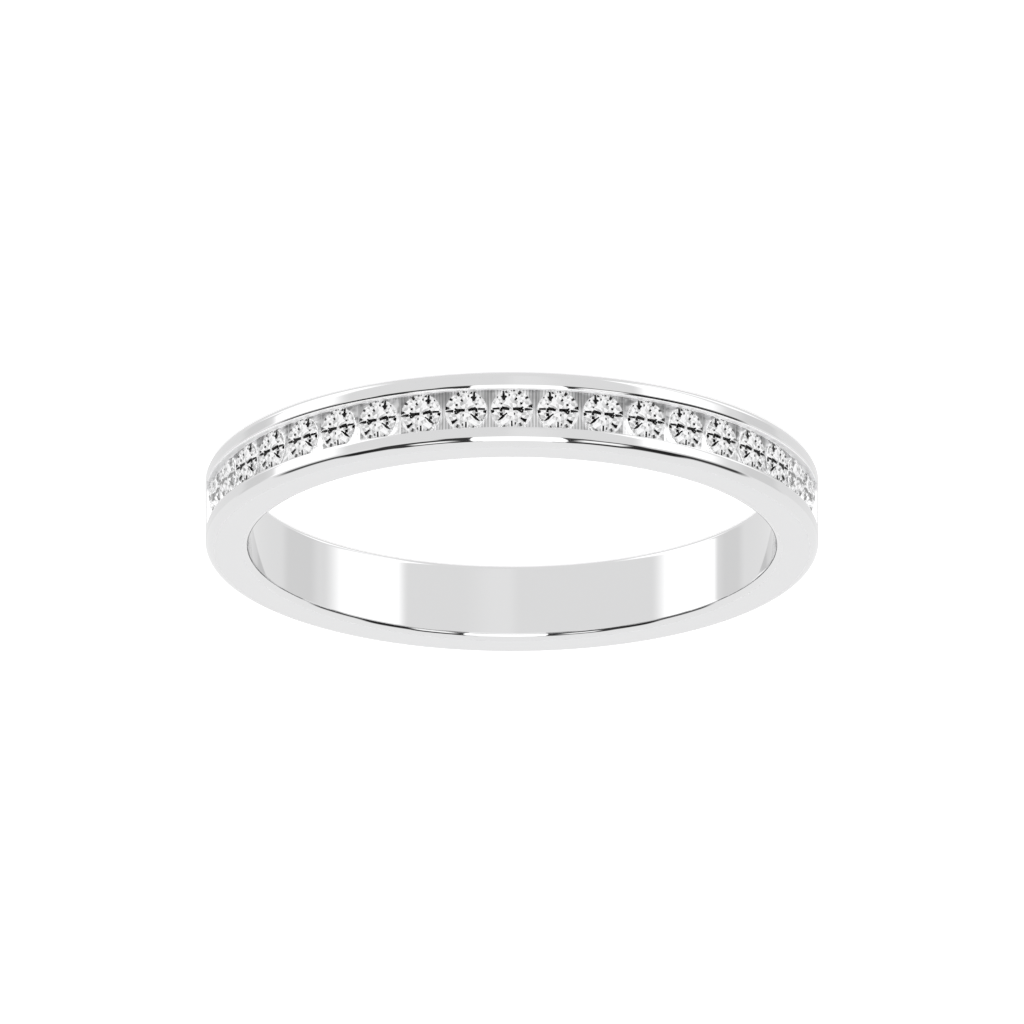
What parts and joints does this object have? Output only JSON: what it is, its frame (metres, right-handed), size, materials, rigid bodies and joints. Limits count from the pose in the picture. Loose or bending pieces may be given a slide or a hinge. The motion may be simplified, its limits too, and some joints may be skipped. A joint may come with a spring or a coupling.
{
  "type": "half eternity ring",
  "caption": "Channel-set half eternity ring: a polished white-metal band with round brilliants set side by side between two plain rails, lying on its side.",
  "frame": {"origin": "centre of the ring, on the surface that it lies on, in the plane of its lower side face", "axes": "+Z along the bore axis, upwards; -Y towards the centre stone; +X along the row of stones"},
  "size_m": [0.0202, 0.0202, 0.0026],
  "materials": {
    "white_gold": "mirror-polished white gold, rhodium bright",
    "brilliant": "polished colourless brilliant-cut gemstone"
  },
  "bodies": {
    "root": {"band": "white_gold", "stone_01": "brilliant", "stone_02": "brilliant", "stone_03": "brilliant", "stone_04": "brilliant", "stone_05": "brilliant", "stone_06": "brilliant", "stone_07": "brilliant", "stone_08": "brilliant", "stone_09": "brilliant", "stone_10": "brilliant", "stone_11": "brilliant", "stone_12": "brilliant", "stone_13": "brilliant", "stone_14": "brilliant", "stone_15": "brilliant", "stone_16": "brilliant", "stone_17": "brilliant", "stone_18": "brilliant", "stone_19": "brilliant"}
  },
  "joints": []
}
